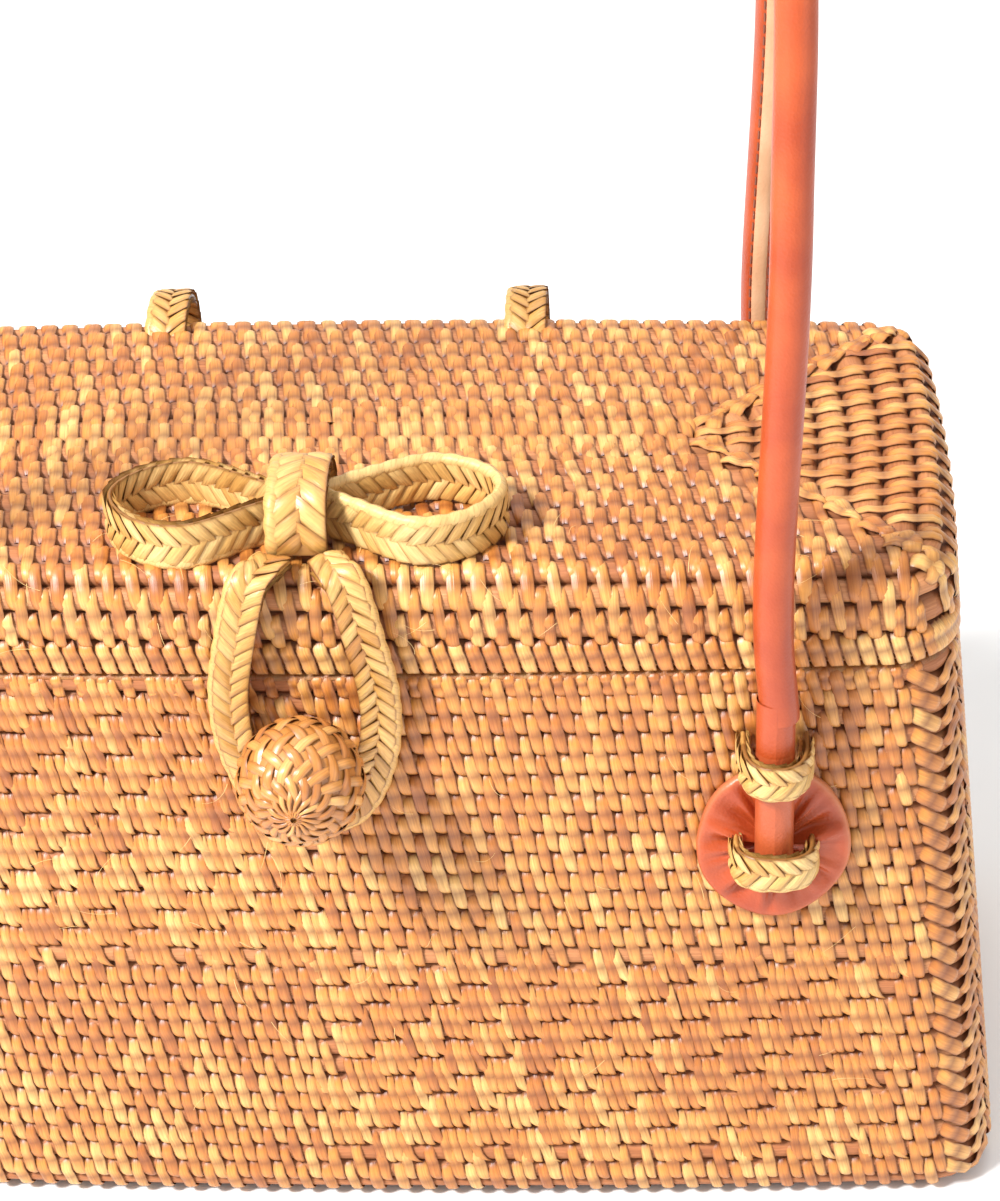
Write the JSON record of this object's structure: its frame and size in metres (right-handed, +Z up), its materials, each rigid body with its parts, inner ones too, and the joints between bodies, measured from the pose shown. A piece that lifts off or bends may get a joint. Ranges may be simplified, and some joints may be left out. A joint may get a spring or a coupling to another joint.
{
  "type": "basket box bag",
  "caption": "Woven grass box handbag with a hinged lid, a plaited bow whose loop closes over a woven ball, and rolled leather handles.",
  "frame": {"origin": "middle of the basket's flat base, on the surface it stands on", "axes": "+X along the length to the right as seen from the front, front towards -Y, +Z up"},
  "size_m": [0.3116, 0.1759, 0.4022],
  "materials": {
    "ata_weave": "satin coiled grass",
    "straw_braid": "pale plaited straw",
    "button_weave": "glossy woven ribbon",
    "leather": "smooth rolled leather"
  },
  "bodies": {
    "basket": {"basket_body": "ata_weave", "ball_button": "button_weave", "button_stem": "button_weave", "leather_end_front_left": "leather", "upper_tie_front_left": "straw_braid", "lower_tie_front_left": "straw_braid", "leather_end_front_right": "leather", "upper_tie_front_right": "straw_braid", "lower_tie_front_right": "straw_braid", "leather_end_back_left": "leather", "upper_tie_back_left": "straw_braid", "lower_tie_back_left": "straw_braid", "leather_end_back_right": "leather", "upper_tie_back_right": "straw_braid", "lower_tie_back_right": "straw_braid"},
    "lid": {"lid": "ata_weave", "hinge_loop_left": "straw_braid", "hinge_loop_right": "straw_braid", "bow_band": "straw_braid", "bow_knot": "straw_braid"},
    "closing_loop": {"closing_loop": "straw_braid"},
    "front_handle": {"front_handle": "leather"},
    "back_handle": {"back_handle": "leather"}
  },
  "joints": [
    {"name": "lid_hinge", "type": "hinge", "parent": "basket", "child": "lid", "pos_m": [0, 0.0645, 0.144], "axis": [-1, 0, 0], "range_deg": [0, 105], "deforming": ["closing_loop"]},
    {"name": "closing_loop_swing", "type": "hinge", "parent": "lid", "child": "closing_loop", "pos_m": [0, -0.0563, 0.1701], "axis": [-1, 0, 0], "range_deg": [0, 120]},
    {"name": "front_handle_swing", "type": "hinge", "parent": "basket", "child": "front_handle", "pos_m": [0, -0.07036, 0.138], "axis": [1, 0, 0], "range_deg": [0, 95]},
    {"name": "back_handle_swing", "type": "hinge", "parent": "basket", "child": "back_handle", "pos_m": [0, 0.07036, 0.138], "axis": [-1, 0, 0], "range_deg": [0, 105]}
  ],
  "couplings": [
    {"joint": "back_handle_swing", "follows": "lid_hinge", "ratio": 1}
  ]
}
